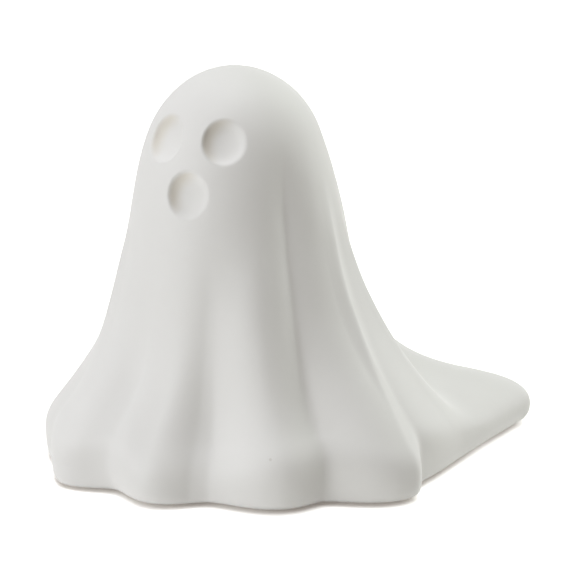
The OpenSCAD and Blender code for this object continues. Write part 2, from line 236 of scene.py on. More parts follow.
class GhostBodySizes(bpy.types.PropertyGroup):
    """Sizes of the draped shell."""
    height: length("Height", "From the table to the crown", 130.4)
    head_radius: length("Head radius", "Radius of the round head", 29.3)
    head_taper: share("Head taper", "How much the head narrows towards the crown", 0.058)
    head_leave: angle("Head leaves at", "Where the cloth leaves the head, above level", 19)
    head_lean: length("Lean", "How far the crown leans to the side", 0.9)
    lean_height: length("Lean starts", "Height above which the figure leans", 60)
    wall: length("Wall", "Wall of the cast shell", 4.5)
    flare: angle("Flare", "Slope of the cloth where it reaches the hem", 50.6)
    drape_top: share("Top hold", "Share of the drop that keeps the head's slope", 0.30)
    drape_hem: share("Hem hold", "Share of the spread that keeps the hem's slope", 0.816)
    drape_even: share("Even cloth", "Share of the hem radius before it folds", 0.80)
    fold_start: share("Folds start", "Share of the way down where folds start", 0.12)
    fold_full: share("Folds full", "Share of the way down where folds are full", 0.53)
    hem_radius: length("Hem radius", "Radius that the folds' shares multiply", 66)
    shoulder_in: length("Shoulder in", "Where the hem's shoulder starts", 5.1)
    shoulder_height: length("Shoulder height", "Height of the shoulder's curve", 11.8)
    hem_wall: length("Hem wall", "Height of the hem's upright wall", 7.8)
    foot_in: length("Foot in", "How far the wall rounds in towards the foot", 5.2)
    train_azimuth: angle("Train azimuth", "Azimuth of the train's tip", 134.6)
    train_reach: length("Train reach", "From the head's axis to the tip", 107.28)
    train_tip: length("Train tip", "Radius of the tip from above", 9)
    train_root: length("Train root", "Radius that the train's flanks leave from", 68.5)
    train_blend: length("Train blend", "Width over which the train joins the hem", 4.9)
    train_wall: length("Train wall", "Height of the train's upright wall", 6)
    train_shoulder: length("Train shoulder", "Height of the train's shoulder", 14.1)
    train_shoulder_in: length("Train shoulder in", "Where its shoulder starts", 24.2)
    train_foot: length("Train foot in", "How far its wall rounds in towards the foot", 10)
    train_slope: angle("Train slope", "Slope of the train's back", 17.5)
    train_top: share("Train top hold", "Share of the drop kept above the train", 0.59)
    train_back: share("Train back hold", "Share of the spread kept on its back", 0.856)
    train_starts: length("Train starts", "Reach at which the hem starts to flatten", 74)
    train_ends: length("Train ends", "Reach at which it is all train", 89.8)


class GhostFaceSizes(bpy.types.PropertyGroup):
    """Sizes of the three pressed hollows. Left and right are as a viewer sees the face."""
    left_eye_width: length("Left eye width", "Width of the left eye hollow", 15.8)
    left_eye_azimuth: angle("Left eye azimuth", "Azimuth of the left eye", -24.1)
    left_eye_height: length("Left eye height", "Height of its floor above the table", 109.6)
    left_eye_turn: angle("Left eye turn", "How far it looks aside from its azimuth", -6)
    right_eye_width: length("Right eye width", "Width of the right eye hollow", 14.6)
    right_eye_azimuth: angle("Right eye azimuth", "Azimuth of the right eye", 22.2)
    right_eye_height: length("Right eye height", "Height of its floor above the table", 110.4)
    right_eye_turn: angle("Right eye turn", "How far it looks aside from its azimuth", -10)
    eye_tilt: angle("Eye tilt", "How far the eye hollows look up", 23)
    eye_floor: length("Eye floor", "From the head's axis to an eye's floor", 24.4)
    mouth_width: length("Mouth width", "Width of the mouth hollow", 14.4)
    mouth_azimuth: angle("Mouth azimuth", "Azimuth of the mouth", 0.8)
    mouth_height: length("Mouth height", "Height of the mouth's floor", 94.4)
    mouth_tilt: angle("Mouth tilt", "How far the mouth hollow looks up", 13)
    mouth_turn: angle("Mouth turn", "How far it looks aside from its azimuth", -7)
    mouth_floor: length("Mouth floor", "From the head's axis to the mouth's floor", 28.6)
    bowl: amount("Bowl", "2 is a round bowl, more is a flatter floor", 2.6)
    rise: length("Rise", "Height of a hollow's side above its floor", 3.8)
    lip: length("Lip", "Softness of a hollow's lip", 1.0)
    boss_wall: length("Boss wall", "Wall that the shell keeps behind a hollow", 3.8)
    boss_spread: length("Boss spread", "How much wider a boss is than its hollow", 3.2)


class GhostBaseSizes(bpy.types.PropertyGroup):
    """Sizes under the base."""
    stand: length("Stand", "Height that the felt pads lift the foot", 1)
    recess: length("Recess", "Depth of the recess inside the foot ring", 1.2)
    foot_ring: length("Foot ring", "Width of the ring that the shell was fired on", 4)
    pour_bore: length("Pour hole", "Bore of the pour hole", 16)
    bore_round: length("Hole round", "Round at the edges of the pour hole", 0.35)
    stopper_gap: length("Stopper gap", "Gap round the stopper's plug", 0.05)
    rim_width: length("Rim width", "Width of the stopper's rim", 22)
    rim_thickness: length("Rim thickness", "Thickness of the stopper's rim", 1.3)
    plug_length: length("Plug length", "Length of the plug inside the hole", 8)
    plug_wall: length("Plug wall", "Wall of the hollow plug", 2.2)
    dimple_width: length("Dimple width", "Width of the finger dimple", 9)
    pad_round: length("Pad round", "Round at the lower edge of a pad", 0.5)


class GhostFinish(bpy.types.PropertyGroup):
    """Colours of the finishes."""
    bisque: colour("Bisque", "The matt white body", (0.80, 0.795, 0.78))
    # Hollow is the colour of the painted shade on the upper left walls of the face's hollows
    hollow: colour("Hollow", "The warm wash on the walls of the face's hollows",
                   (0.74, 0.708, 0.65))
    bare_clay: colour("Bare clay", "The unglazed foot", (0.74, 0.70, 0.635))
    rubber: colour("Rubber", "The stopper", (0.085, 0.084, 0.08))
    felt: colour("Felt", "The pads", (0.27, 0.255, 0.225))


class GhostStage(bpy.types.PropertyGroup):
    """Camera and light."""
    azimuth: angle("Camera azimuth", "From the face towards the train", 25.93)
    elevation: angle("Camera elevation", "Above level", 16.05)
    distance: length("Camera distance", "From the camera to its target", 641.3)
    aim_right: length("Aim right", "Target beside the head's axis", 17.7)
    aim_height: length("Aim height", "Height of the target", 57.32)
    lens: amount("Lens", "Focal length in millimetres", 122.93)
    reach: length("Lamp distance", "From every lamp to the ghost", 1100)
    key: amount("Key light", "Power of the low light on the left, in watts", 4.65)
    side: amount("Side light", "Power of the light on the far left, in watts", 1.6)
    low_back: amount("Low back light", "Power of the low light behind on the right", 3.0)
    high_back: amount("High back light", "Power of the high light behind on the right", 2.7)
    top: amount("Top light", "Power of the light overhead, in watts", 7.4)
    ambient: amount("Ambient", "Strength of the surroundings", 0.055)


def hollows(face):
    """Both eyes and the mouth: azimuth, height, tilt and turn, then floor reach and width."""
    left = face.left_eye_azimuth, face.left_eye_height, face.eye_tilt, face.left_eye_turn
    right = face.right_eye_azimuth, face.right_eye_height, face.eye_tilt, face.right_eye_turn
    mouth = face.mouth_azimuth, face.mouth_height, face.mouth_tilt, face.mouth_turn
    return ((left, face.eye_floor, face.left_eye_width),
            (right, face.eye_floor, face.right_eye_width),
            (mouth, face.mouth_floor, face.mouth_width))


def direction(azimuth, elevation):
    """The way from the head's axis towards an azimuth and an elevation."""
    return (math.sin(azimuth) * math.cos(elevation),
            -math.cos(azimuth) * math.cos(elevation), math.sin(elevation))


# The sheet's surface

def ease(x, start=0, end=1):
    """0 up to the start, 1 from the end on and a soft step between them."""
    c = np.clip((x - start) / (end - start), 0, 1)
    return c * c * (3 - 2 * c)


def mix(a, b, weight):
    """The first value at weight 0 and the second at weight 1."""
    return a * (1 - weight) + b * weight


def blend_max(a, b, width):
    """The larger of two reaches, joined by a soft fillet."""
    h = np.clip(0.5 + 0.5 * (a - b) / width, 0, 1)
    return b * (1 - h) + a * h + width * h * (1 - h)


def blend_min(a, b, width):
    """The smaller of two heights, joined by a soft fillet."""
    return -blend_max(-a, -b, width)


def curve(a, b, c, d, t):
    """A cubic curve through its four handles."""
    return (1 - t) ** 3 * a + 3 * (1 - t) ** 2 * t * b + 3 * (1 - t) * t * t * c + t ** 3 * d


def cloth_reach(azimuths, levels, body):
    """Reach of the lobed cloth at every azimuth and level, from 0 at the top to 1 at the hem.

    The folds grow out of even cloth, and settle on the hem's own lines near it."""
    grown = ease(levels, body.fold_start, body.fold_full)[:, None]
    settled = ease(levels, body.fold_full, 1)[:, None]
    lines = mix(DRAPE_TURNS, HEM_TURNS, settled)
    shares = mix(mix(body.drape_even, DRAPE_REACHES, grown), HEM_REACHES, settled)
    spans = (np.roll(lines, -1, 1) - lines) % 360
    along = (azimuths[:, None, None] - lines[None]) % 360
    index = along.argmin(2)
    level = np.arange(len(levels))[None, :]
    part = np.take_along_axis(along, index[:, :, None], 2)[:, :, 0] / spans[level, index]
    up = np.sin(np.pi / 2 * part) ** OPENINGS[index]
    down = 1 - np.sin(np.pi / 2 * (1 - part)) ** np.roll(OPENINGS, -1)[index]
    rise = np.where(index % 2 == 0, up, down)
    after = np.roll(shares, -1, 1)
    return body.hem_radius * mix(shares[level, index], after[level, index], rise)


def line_share(azimuths, shares):
    """A share that each fold line has, eased between the lines, at every azimuth."""
    spans = (np.roll(HEM_TURNS, -1) - HEM_TURNS) % 360
    along = (azimuths[:, None] - HEM_TURNS[None, :]) % 360
    index = along.argmin(1)
    part = ease(along[np.arange(len(azimuths)), index] / spans[index])
    return mix(shares[index], np.roll(shares, -1)[index], part)[:, None]


def train_reach(azimuths, body):
    """Reach of the train: two straight flanks that close on a round tip."""
    tip, root = body.train_tip, body.train_root
    centre = body.train_reach - tip
    taper = math.asin((root - tip) / centre)
    tip_turn = math.atan2(tip * math.cos(taper), centre + tip * math.sin(taper))
    degrees = (azimuths - math.degrees(body.train_azimuth) + 180) % 360 - 180
    away = np.radians(np.abs(degrees))
    past = away - (math.pi / 2 - taper)
    beside = centre * np.sin(away)
    round_tip = centre * np.cos(away) + np.sqrt(np.maximum(0, tip ** 2 - beside ** 2))
    flank = root / np.sin(away + taper)
    fading = root * (1 - TRAIN_FADE * np.maximum(0, past) ** TRAIN_FADE_POWER)
    return np.where(away < tip_turn, round_tip, np.where(past < 0, flank, fading))


def reach(azimuths, levels, body):
    """Reach of the whole sheet, the cloth joined with the train."""
    return blend_max(cloth_reach(azimuths, np.asarray(levels, float), body),
                     train_reach(azimuths, body)[:, None], body.train_blend)


def train_weight(azimuths, body):
    """1 where the hem is all train and 0 where it is all cloth."""
    return ease(train_reach(azimuths, body), body.train_starts, body.train_ends)


def crease_height(azimuths, levels, r):
    """How far the creases and ridges stand out of the sheet, at its reach."""
    out = np.zeros_like(r)
    for high, middle, low, start, full, drape_height, hem_height, width in CREASE_LINES:
        line = np.interp(levels, CREASE_LEVELS, (high, middle, low))
        height = mix(drape_height, hem_height, ease(levels, *CREASE_TO_HEM))
        height = height * ease(levels, start, full) * (1 - ease(levels, *CREASE_ENDS))
        away = np.radians((azimuths[:, None] - line + 180) % 360 - 180) * r / (width * MM)
        out += height * MM * np.exp(CREASE_PEAK - np.sqrt(away ** 2 + CREASE_ROUND))
    return out


def sheet_turns(body):
    """Azimuths of the mesh, closer together where the hem's outline runs long."""
    even = np.linspace(-180, 180, SURVEY_STEPS)
    r = reach(even, [1], body)[:, 0]
    x, y = r * np.sin(np.radians(even)), -r * np.cos(np.radians(even))
    run = np.concatenate([[0], np.cumsum(np.hypot(np.diff(x), np.diff(y)))])
    place = RUN_SHARE * run / run[-1] + (1 - RUN_SHARE) * (even + 180) / 360
    return np.interp(np.arange(TURNS) / TURNS, place, even)


def sheet_profile(azimuths, body, base):
    """Reach and height of every outer ring at every azimuth, from the crown to the foot."""
    hem = reach(azimuths, [1], body)
    train = train_weight(azimuths, body)[:, None]
    one = np.ones_like(hem)
    inset = mix(body.shoulder_in, body.train_shoulder_in, train)
    up = mix(body.shoulder_height, body.train_shoulder, train)
    foot_in = mix(body.foot_in * line_share(azimuths, FOOT_SHARES), body.train_foot, train)
    wall = body.hem_wall * line_share(azimuths, WALL_SHARES)
    wall_top = base.stand + mix(wall, body.train_wall, train)
    slope = mix(body.flare, body.train_slope, train)
    hold_top = mix(body.drape_top, body.train_top, train)
    hold_hem = mix(body.drape_hem, body.train_back, train)
    centre = body.height - body.head_radius
    taper = body.head_taper

    lift = np.concatenate([
        np.linspace(np.pi / 2, BROW_LIFT, CROWN_RINGS + 1)[1:],
        np.linspace(BROW_LIFT, body.head_leave, BROW_RINGS + 1)[1:]])[None, :]
    head_r = body.head_radius * np.cos(lift) * (1 - taper * np.sin(lift)) * one
    head_z = (centre + body.head_radius * np.sin(lift)) * one

    levels = np.concatenate([np.linspace(0, FACE_LEVEL, FACE_RINGS + 1)[1:],
                             np.linspace(FACE_LEVEL, 1, DRAPE_RINGS + 1)[1:]])
    t = levels[None, :]
    up_sine, up_cosine = math.sin(body.head_leave), math.cos(body.head_leave)
    r0, z0 = head_r[:, -1:], head_z[:, -1:]
    lead = up_sine / up_cosine * (1 - taper * up_sine) + taper * up_cosine
    r3, z3 = reach(azimuths, levels, body) - inset, wall_top + up
    z1 = z0 - hold_top * (z0 - z3)
    r1 = r0 + hold_top * (z0 - z3) * lead
    r2 = r3 - hold_hem * (r3 - r0)
    z2 = z3 + hold_hem * (r3 - r0) * np.tan(slope)
    drape_r, drape_z = curve(r0, r1, r2, r3, t), curve(z0, z1, z2, z3, t)

    t = np.linspace(0, 1, SHOULDER_RINGS + 1)[1:][None, :]
    start, hold = hem - inset, inset * SHOULDER_HOLD
    hold_z = np.maximum(z3 - hold * np.tan(slope), wall_top + up * SHOULDER_FLOOR)
    shoulder_r = curve(start, start + hold, hem, hem, t)
    shoulder_z = curve(z3, hold_z, wall_top + up * SHOULDER_LIFT, wall_top, t)

    t = np.linspace(0, 1, WALL_RINGS + FOOT_RINGS + 1)[1:][None, :]
    foot = base.stand
    wall_r = curve(hem, hem, hem - FOOT_LEAD * foot_in, hem - foot_in, t)
    wall_z = curve(wall_top, mix(wall_top, foot, WALL_HOLD), foot, foot, t)
    cloth_r = np.concatenate([drape_r, shoulder_r, wall_r], 1)
    past = np.linspace(0, 1, SHOULDER_RINGS + WALL_RINGS + FOOT_RINGS + 1)[1:]
    all_levels = np.concatenate([levels, 1 + HEM_LEVELS * past])
    cloth_r = cloth_r + crease_height(azimuths, all_levels, cloth_r)
    return (np.concatenate([head_r, cloth_r], 1),
            np.concatenate([head_z, drape_z, shoulder_z, wall_z], 1))


def lean(z, body):
    """How far the figure leans sideways at a height."""
    return body.head_lean * ease(z, body.lean_height, body.height)


def under_and_inside(r, z, body, base):
    """Rings of the foot ring, the recess, the pour hole and the inside of the shell."""
    one = np.ones((len(r), 1))
    edge = r[:, -1:]
    inner = edge - base.foot_ring
    recess_z = base.stand + base.recess
    floor_z = recess_z + body.wall
    bore = base.pour_bore / 2
    soft = base.bore_round
    rows = [(mix(edge, inner, t), base.stand * one) for t in FOOT_RING_SHARES]
    for inward, up in RECESS_EDGE_SHARES:
        rows.append((inner - inward * base.recess, (base.stand + up * base.recess) * one))
    start = rows[-1][0]
    for t in RECESS_SHARES:
        rows.append((mix(start, bore + soft, t), recess_z * one))
    for turned in (0, math.pi / 4, math.pi / 2):
        rows.append(((bore + soft * (1 - math.sin(turned))) * one,
                     (recess_z + soft * (1 - math.cos(turned))) * one))
    for t in BORE_SHARES:
        rows.append((bore * one, mix(recess_z + soft, floor_z, t) * one))
    cut = soft * BORE_EDGE_SHARE
    rows.append(((bore + cut) * one, (floor_z - cut) * one))
    rows.append(((bore + soft) * one, floor_z * one))

    # The inside lies one wall in from the outside, down to the floor that the slip left
    last = CROWN_RINGS + BROW_RINGS + FACE_RINGS + DRAPE_RINGS + SHOULDER_RINGS - 1
    picks = np.linspace(last, INSIDE_ENDS, INSIDE_RINGS).round().astype(int)
    before, after = picks - 1, picks + 1
    run_r, run_z = r[:, after] - r[:, before], z[:, after] - z[:, before]
    size = np.hypot(run_r, run_z)
    in_r = r[:, picks] + body.wall * run_z / size
    in_z = np.maximum(z[:, picks] - body.wall * run_r / size, floor_z)
    wall_foot = in_r[:, :1]
    for t in FLOOR_SHARES:
        rows.append((mix(bore + soft, wall_foot, t), floor_z * one))
    rows.append((in_r, in_z))
    return [np.concatenate(part, 1) for part in zip(*rows)]


def hollow_middle(place, floor, body):
    """The middle of a hollow's floor."""
    azimuth, height = place[:2]
    return (AXIS.x + floor * math.sin(azimuth) + float(lean(height, body)),
            AXIS.y - floor * math.cos(azimuth), height)


def press_hollow(points, allowed, place, floor, width, lip, body, face):
    """Presses one round hollow into the allowed points that lie in front of it."""
    azimuth, _, tilt, turn = place
    out = np.array(direction(azimuth + turn, tilt))
    away = points - np.array(hollow_middle(place, floor, body))
    forward = away @ out
    beside = np.linalg.norm(away - forward[:, None] * out, axis=1)
    near = (beside < width) & (forward > -HOLLOW_BACK) & allowed
    radii = beside / (width / 2)
    bowl = face.rise * (1 - (1 - np.clip(radii, 0, 1) ** face.bowl) ** (1 / face.bowl))
    bowl = bowl + np.maximum(0, radii - 1) * width * HOLLOW_CLIMB
    drop = np.where(near, forward - blend_min(forward, bowl, lip), 0)
    return points - drop[:, None] * out


def sheet_ripple(points, outer):
    """Faint unevenness of a modelled original, under a quarter of a millimetre."""
    moved = points.copy()
    for i in np.nonzero(outer)[0]:
        p = Vector(points[i])
        slow = noise.noise(p * SLOW_WAVES)
        fast = noise.noise(p * FAST_WAVES + FAST_SHIFT)
        away = Vector((p.x - AXIS.x, p.y - AXIS.y, 0))
        if away.length > STILL_RADIUS:
            height = slow * SLOW_HEIGHT + fast * FAST_HEIGHT
            p += away.normalized() * height * MM * min(1, away.length / FULL_RADIUS)
        moved[i] = p
    return moved


def deselect_all():
    """Leaves edit mode and clears the selection."""
    if bpy.context.object and bpy.context.object.mode != "OBJECT":
        bpy.ops.object.mode_set(mode="OBJECT")
    bpy.ops.object.select_all(action="DESELECT")


def name_piece(name, material, body):
    """The active object becomes a finished piece that rides on a body."""
    piece = bpy.context.object
    bpy.ops.object.transform_apply(location=True, rotation=True, scale=True)
    piece.name = name
    piece.data.name = name
    piece.data.materials.clear()
    piece.data.materials.append(material)
    bpy.ops.object.shade_smooth()
    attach(piece, body)
    return piece


# Materials

class Wire:
    """A socket that takes part in plain arithmetic, where each step adds a Math node."""

    def __init__(self, nodes, socket):
        self.nodes = nodes
        self.socket = socket

    def step(self, operation, first, second, clamp=False):
        """One Math node with two inputs."""
        return self.nodes.add("ShaderNodeMath", operation=operation, use_clamp=clamp,
                              inputs={0: first, 1: second})

    def __add__(self, other):
        return self.step("ADD", self, other)

    def __radd__(self, other):
        return self.step("ADD", other, self)

    def __sub__(self, other):
        return self.step("SUBTRACT", self, other)

    def __rsub__(self, other):
        return self.step("SUBTRACT", other, self)

    def __mul__(self, other):
        return self.step("MULTIPLY", self, other)

    def __rmul__(self, other):
        return self.step("MULTIPLY", other, self)

    def __truediv__(self, other):
        return self.step("DIVIDE", self, other)

    def __rtruediv__(self, other):
        return self.step("DIVIDE", other, self)

    def maximum(self, other):
        """The larger of two values."""
        return self.step("MAXIMUM", self, other)

    def clamp(self):
        """The same value, kept between 0 and 1."""
        return self.step("ADD", self, 0.0, clamp=True)


class Nodes:
    """The node tree of a material or world, with its nodes added by add()."""

    def __init__(self, owner, output):
        owner.use_nodes = True
        self.owner = owner
        self.tree = owner.node_tree
        self.tree.nodes.clear()
        self.output = self.tree.nodes.new(output)

    def join(self, value, socket):
        """Links a wire to a socket, or gives the socket a value of its own."""
        if isinstance(value, Wire):
            self.tree.links.new(value.socket, socket)
        elif socket.type == "RGBA":
            socket.default_value = (*value, 1.0)
        else:
            socket.default_value = value

    def add(self, kind, output=0, inputs=None, **options):
        """Adds a node: its settings first, then the values or links of its sockets."""
        node = self.tree.nodes.new(kind)
        for key, value in options.items():
            setattr(node, key, value)
        for key, value in (inputs or {}).items():
            self.join(value, node.inputs[key])
        return Wire(self, node.outputs[output])

    def place(self):
        """Where a point is on the object, in metres."""
        return self.add("ShaderNodeTexCoord", output="Object")

    def distance(self, where, middle):
        """How far a point is from a fixed one."""
        return self.add("ShaderNodeVectorMath", output="Value", operation="DISTANCE",
                        inputs={0: where, 1: middle})

    def grain(self, where, scale, detail, rough):
        """Even noise from 0 to 1, with its scale in waves per metre."""
        return self.add("ShaderNodeTexNoise", output="Fac", inputs={
            "Vector": where, "Scale": scale, "Detail": detail, "Roughness": rough})

    def tint(self, factor, first, second):
        """The first colour at factor 0 and the second at factor 1."""
        return self.add("ShaderNodeMix", output=2, data_type="RGBA",
                        inputs={0: factor, 6: first, 7: second})

    def bump(self, height, distance, strength, under=None):
        """A bumped normal, on top of another one where that is given."""
        inputs = {"Height": height, "Distance": distance, "Strength": strength}
        if under:
            inputs["Normal"] = under
        return self.add("ShaderNodeBump", inputs=inputs)

    def seen(self):
        """1 for camera, glossy and transmission rays, and 0 for all others."""
        straight, gloss, glass = (self.add("ShaderNodeLightPath", output=ray) for ray in (
            "Is Camera Ray", "Is Glossy Ray", "Is Transmission Ray"))
        return straight.maximum(gloss).maximum(glass)

    def show(self, shader):
        """Puts a shader on the output, and gives back the material or world."""
        self.join(shader, self.output.inputs["Surface"])
        return self.owner

    def surface(self, **inputs):
        """Puts the Principled shader on the output."""
        named = {key.replace("_", " "): value for key, value in inputs.items()}
        return self.show(self.add("ShaderNodeBsdfPrincipled", inputs=named))


def new_finish(name):
    """The empty node tree of a new material."""
    return Nodes(bpy.data.materials.new(name), "ShaderNodeOutputMaterial")


def shade(tint, factor):
    """A colour made darker or lighter."""
    return [min(1, part * factor) for part in tint]


def painted_shade_mask(m, where, place, floor, width, body):
    """Painted shade: 1 on the upper left wall of a pressed hollow, where shade falls, 0 on the
    rest of it and past its lip.
    """
    azimuth, radius = place[0], width / 2
    middle = Vector(hollow_middle(place, floor, body))
    away = m.distance(where, middle) / radius
    upper_left = Vector((-math.cos(azimuth), -math.sin(azimuth), HOLLOW_SHADE_LEAN)).normalized()
    along = m.add("ShaderNodeVectorMath", output="Value", operation="DOT_PRODUCT",
                  inputs={0: where, 1: upper_left}) - middle.dot(upper_left)
    side = ((along / radius - HOLLOW_SHADE_SIDE) * HOLLOW_SHADE_SIDE_GAIN).clamp()
    on_wall = ((away - HOLLOW_SHADE_START) * HOLLOW_SHADE_START_GAIN).clamp()
    short_of_lip = ((HOLLOW_SHADE_END - away) * HOLLOW_SHADE_END_GAIN).clamp()
    return on_wall * short_of_lip * side


def bisque_finish(finish, body, face, base):
    """Matt white ceramic: soft mottling, fine tooth, painted shade in the hollows, a speck and a
    bare foot.
    """
    m = new_finish("bisque")
    where = m.place()
    height = m.add("ShaderNodeSeparateXYZ", output="Z", inputs={0: where})
    mottle = m.grain(where, scale=55, detail=3, rough=0.55)
    cloud = m.grain(where, scale=17, detail=2, rough=0.5)
    tooth = m.grain(where, scale=2600, detail=3, rough=0.6)
    peel = m.grain(where, scale=420, detail=2, rough=0.5)
    speck = ((SPECK_SIZE - m.distance(where, SPECK_PLACE)) / (0.5 * SPECK_SIZE)).clamp()
    # Painted shade: a darker, warmer colour on the upper left wall of each hollow, where shade
    # falls
    painted_shade = sum(painted_shade_mask(m, where, place, floor, width, body)
               for place, floor, width in hollows(face))
    bare = ((base.stand + BARE_HEIGHT - height) / BARE_FADE).clamp()
    light = m.tint((mottle - 0.5) * 0.9 + (cloud - 0.5) * 0.8 + 0.5,
                   shade(finish.bisque, 0.975), shade(finish.bisque, 1.02))
    with_painted_shade = m.tint(painted_shade.clamp(), light, finish.hollow)
    speckled = m.tint(speck * SPECK_STRENGTH, with_painted_shade, SPECK_COLOUR)
    tone = m.tint(bare, speckled, finish.bare_clay)
    rough = 0.56 + (mottle - 0.5) * 0.12 + (tooth - 0.5) * 0.06 + bare * 0.3
    low = m.bump(peel, distance=0.03 * MM, strength=0.6)
    fine = m.bump(tooth, distance=0.012 * MM, strength=0.7, under=low)
    return m.surface(Base_Color=tone, Roughness=rough, Normal=fine,
                     Specular_IOR_Level=0.4, IOR=1.5)


def rubber_finish(finish):
    """Soft moulded stopper: matt with a little dust and moulding grain."""
    m = new_finish("plug_rubber")
    where = m.place()
    dust = m.grain(where, scale=240, detail=4, rough=0.6)
    grain = m.grain(where, scale=3200, detail=2, rough=0.6)
    tone = m.tint((dust - 0.35) * 1.6, finish.rubber, shade(finish.rubber, 1.9))
    rough = 0.62 + (dust - 0.5) * 0.25
    return m.surface(Base_Color=tone, Roughness=rough, Specular_IOR_Level=0.4,
                     Normal=m.bump(grain, distance=0.02 * MM, strength=0.6))


def felt_finish(finish):
    """Pressed wool: matted fibres in two scales, with painted shade where they lie deep."""
    m = new_finish("felt")
    where = m.place()
    swirl = m.grain(where, scale=900, detail=4, rough=0.7)
    wool = 0
    for turned, scale in (((0.3, 0.2, 0.7), 1500), ((0.1, 0.5, 2.1), 1700)):
        stretched = m.add("ShaderNodeMapping", inputs={
            "Vector": where, "Rotation": turned, "Scale": (1, 4, 1)})
        wool = m.grain(stretched, scale, detail=5, rough=0.75) * 0.5 + wool
    # The tone follows the fibres' height, as the bump does: painted shade where they lie deep,
    # lighter where they stand up
    tone = m.tint((wool * 0.7 + swirl * 0.5 - 0.25).clamp(),
                  shade(finish.felt, 0.6), shade(finish.felt, 1.35))
    return m.surface(Base_Color=tone, Roughness=0.95, Specular_IOR_Level=0.15,
                     Sheen_Weight=0.35, Sheen_Roughness=0.6,
                     Normal=m.bump(wool + swirl * 0.5, distance=0.16 * MM, strength=0.9))


def sweep_finish():
    """A pale floor that the camera sees as white, with the contact shadow kept."""
    m = new_finish("sweep")
    matt = m.add("ShaderNodeBsdfDiffuse", inputs={"Color": FLOOR_MATT})
    far = m.add("ShaderNodeVectorMath", output="Value", operation="LENGTH",
                inputs={0: m.place()})
    open_share = m.add("ShaderNodeAmbientOcclusion", output="AO", samples=16,
                       inputs={"Distance": SHADE_REACH})
    near = GLOW_NEAR + ((far - GLOW_START) * GLOW_GAIN).clamp() * (1 - GLOW_NEAR)
    lit = near * ((open_share - SHADE_START) * SHADE_GAIN).clamp()
    glow = m.add("ShaderNodeEmission", inputs={
        "Color": m.tint(lit, FLOOR_SHADE, (1, 1, 1)), "Strength": 1})
    both = m.add("ShaderNodeAddShader", inputs={0: matt, 1: glow})
    return m.show(m.add("ShaderNodeMixShader", inputs={0: m.seen(), 1: matt, 2: both}))


def surroundings(ambient):
    """A world that the camera sees as white, and that lights the ghost only faintly."""
    m = Nodes(bpy.data.worlds.new("surroundings"), "ShaderNodeOutputWorld")
    lit = m.add("ShaderNodeBackground", inputs={"Color": AMBIENT_COLOUR, "Strength": ambient})
    white = m.add("ShaderNodeBackground", inputs={"Color": (1, 1, 1), "Strength": 1})
    return m.show(m.add("ShaderNodeMixShader", inputs={0: m.seen(), 1: lit, 2: white}))


# Operators

class GHOST_OT_draped_body(bpy.types.Operator):
    """Make the hollow draped shell with its face, hem, train and foot"""
    bl_idname = "ghost.draped_body"
    bl_label = "Draped body"
    bl_options = {"REGISTER", "UNDO"}

    def execute(self, context):
        scene = context.scene
        body, face, base = scene.ghost_body, scene.ghost_face, scene.ghost_base
        azimuths = sheet_turns(body)
        outer_r, outer_z = sheet_profile(azimuths, body, base)
        inner_r, inner_z = under_and_inside(outer_r, outer_z, body, base)
        r, z = np.hstack([outer_r, inner_r]), np.hstack([outer_z, inner_z])
        rings = r.shape[1]

        deselect_all()
        bpy.ops.mesh.primitive_grid_add(x_subdivisions=TURNS, y_subdivisions=rings + 1, size=2)
        mesh = context.object.data
        if len(mesh.vertices) != (TURNS + 1) * (rings + 2):
            raise RuntimeError("the grid doesn't have the rings that the sheet needs")
        number = np.arange(len(mesh.vertices))
        turn = number % (TURNS + 1) % TURNS
        ring = rings + 1 - number // (TURNS + 1)
        row = np.clip(ring - 1, 0, rings - 1)
        a, out, up = np.radians(azimuths[turn]), r[turn, row], z[turn, row]
        for pole, height in ((0, body.height), (rings + 1, body.height - body.wall)):
            out = np.where(ring == pole, 0, out)
            up = np.where(ring == pole, height, up)
        points = np.stack([AXIS.x + out * np.sin(a) + lean(up, body),
                           AXIS.y - out * np.cos(a), up], 1)
        outer = ring <= outer_r.shape[1] - FOOT_RINGS
        inner = ring > rings - INSIDE_RINGS
        points = sheet_ripple(points, outer)
        for place, floor, width in hollows(face):
            points = press_hollow(points, outer, place, floor, width, face.lip, body, face)
            points = press_hollow(points, inner, place, floor - face.boss_wall,
                                  width + 2 * face.boss_spread, 2 * face.lip, body, face)
        mesh.vertices.foreach_set("co", points.ravel())
        mesh.update()
        bpy.ops.object.mode_set(mode="EDIT")
        bpy.ops.mesh.select_all(action="SELECT")
        bpy.ops.mesh.remove_doubles(threshold=MERGE)
        bpy.ops.object.mode_set(mode="OBJECT")
        finish = bisque_finish(scene.ghost_finish, body, face, base)
        piece = name_piece("draped_body", finish, "figure")
        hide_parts("ghost_shell")
        return {"FINISHED"}


